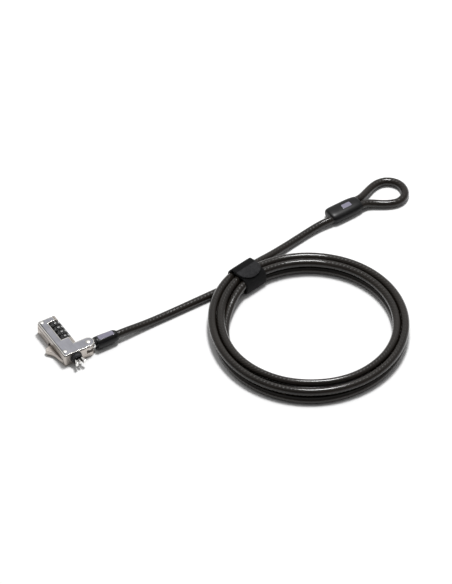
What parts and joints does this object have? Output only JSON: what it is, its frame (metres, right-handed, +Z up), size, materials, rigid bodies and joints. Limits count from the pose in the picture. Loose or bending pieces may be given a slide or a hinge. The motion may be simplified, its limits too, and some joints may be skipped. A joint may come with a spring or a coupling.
{
  "type": "laptop cable lock",
  "caption": "Slim L-shaped combination lock head with spreading tip, thumb lever and swivel, on a coiled sheathed steel cable that ends in a crimped eye loop.",
  "frame": {"origin": "on the resting face, under the axis of the locking tip and on the centre line of the cable leg", "axes": "+X from the tip axis to the cable, -Y the way the tip points, +Y along the dial leg, +Z up off the resting face"},
  "size_m": [0.2862, 0.1673, 0.0148],
  "materials": {
    "satin_nickel": "satin nickel on a die casting",
    "brushed_cover": "fine brushed, dark nickel",
    "bright_metal": "polished bright",
    "inner_steel": "plain steel",
    "dial_black": "glossy black with white digits",
    "bumper_rubber": "matte charcoal rubber",
    "moulded_black": "satin black moulding",
    "cable_sheath": "smoked clear sheath over twisted steel wires",
    "strap_black": "matte hook-and-loop fabric"
  },
  "bodies": {
    "cable": {"ferrule": "moulded_black", "swivel_collar": "inner_steel", "cable_crimp": "inner_steel", "cable_lead": "cable_sheath", "cable_coil": "cable_sheath", "cable_tail": "cable_sheath", "cable_eye": "cable_sheath", "eye_crimp": "inner_steel", "eye_sleeve": "moulded_black", "cable_strap": "strap_black"},
    "swivel": {"swivel_tongue": "bright_metal"},
    "head": {"housing": "satin_nickel", "cover_plate": "brushed_cover", "cover_rivet": "bright_metal", "pivot_pin": "bright_metal", "lever_pin": "bright_metal", "lever_spring": "inner_steel", "prong_pins": "inner_steel", "rubber_bumper": "bumper_rubber", "dial_spindle": "inner_steel", "spindle_spring": "inner_steel", "detent_spring": "inner_steel"},
    "lever": {"release_lever": "satin_nickel"},
    "bar": {"lock_bar": "inner_steel"},
    "spreader": {"spreader_pin": "bright_metal"},
    "left_prong": {"prong_left": "bright_metal"},
    "right_prong": {"prong_right": "bright_metal"},
    "reset": {"reset_screw": "bright_metal"},
    "dial_1": {"dial_wheel_1": "dial_black", "code_hub_1": "inner_steel"},
    "dial_2": {"dial_wheel_2": "dial_black", "code_hub_2": "inner_steel"},
    "dial_3": {"dial_wheel_3": "dial_black", "code_hub_3": "inner_steel"},
    "dial_4": {"dial_wheel_4": "dial_black", "code_hub_4": "inner_steel"}
  },
  "joints": [
    {"name": "swivel_spin", "type": "hinge", "parent": "cable", "child": "swivel", "pos_m": [0.02, 0, 0.005], "axis": [1, 0, 0], "continuous": true},
    {"name": "head_pivot", "type": "hinge", "parent": "swivel", "child": "head", "pos_m": [0.0117, 0, 0.005], "axis": [0, 0, 1], "range_deg": [-90, 90]},
    {"name": "lever_press", "type": "hinge", "parent": "head", "child": "lever", "pos_m": [-0.0061, -0.0002, 0.005], "axis": [0, 0, -1], "range_deg": [0, 14], "stiffness_Nm_per_rad": 0.06, "springref_deg": -17.19},
    {"name": "lock_bar_slide", "type": "slide", "parent": "head", "child": "bar", "axis": [1, 0, 0], "range_m": [0, 0.00125]},
    {"name": "spreader_slide", "type": "slide", "parent": "head", "child": "spreader", "axis": [0, -1, 0], "range_m": [0, 0.0015]},
    {"name": "prong_left_swing", "type": "hinge", "parent": "head", "child": "left_prong", "pos_m": [-0.0024, -0.0017, 0.0052], "axis": [0, 0, 1], "range_deg": [0, 4]},
    {"name": "prong_right_swing", "type": "hinge", "parent": "head", "child": "right_prong", "pos_m": [0.0024, -0.0017, 0.0052], "axis": [0, 0, -1], "range_deg": [0, 4]},
    {"name": "reset_turn", "type": "hinge", "parent": "head", "child": "reset", "pos_m": [0.0013, 0.032, 0.0054], "axis": [0, 1, 0], "range_deg": [0, 90]},
    {"name": "dial_1_turn", "type": "hinge", "parent": "head", "child": "dial_1", "pos_m": [0.0013, 0.0124, 0.0054], "axis": [0, 1, 0], "range_deg": [-360, 360]},
    {"name": "dial_2_turn", "type": "hinge", "parent": "head", "child": "dial_2", "pos_m": [0.0013, 0.01685, 0.0054], "axis": [0, 1, 0], "range_deg": [-360, 360]},
    {"name": "dial_3_turn", "type": "hinge", "parent": "head", "child": "dial_3", "pos_m": [0.0013, 0.0213, 0.0054], "axis": [0, 1, 0], "range_deg": [-360, 360]},
    {"name": "dial_4_turn", "type": "hinge", "parent": "head", "child": "dial_4", "pos_m": [0.0013, 0.02575, 0.0054], "axis": [0, 1, 0], "range_deg": [-360, 360]}
  ],
  "couplings": [
    {"joint": "lock_bar_slide", "follows": "lever_press", "m_per_rad": 0.005115},
    {"joint": "spreader_slide", "follows": "lever_press", "m_per_rad": 0.006138},
    {"joint": "prong_left_swing", "follows": "lever_press", "ratio": 0.2857},
    {"joint": "prong_right_swing", "follows": "lever_press", "ratio": 0.2857}
  ]
}
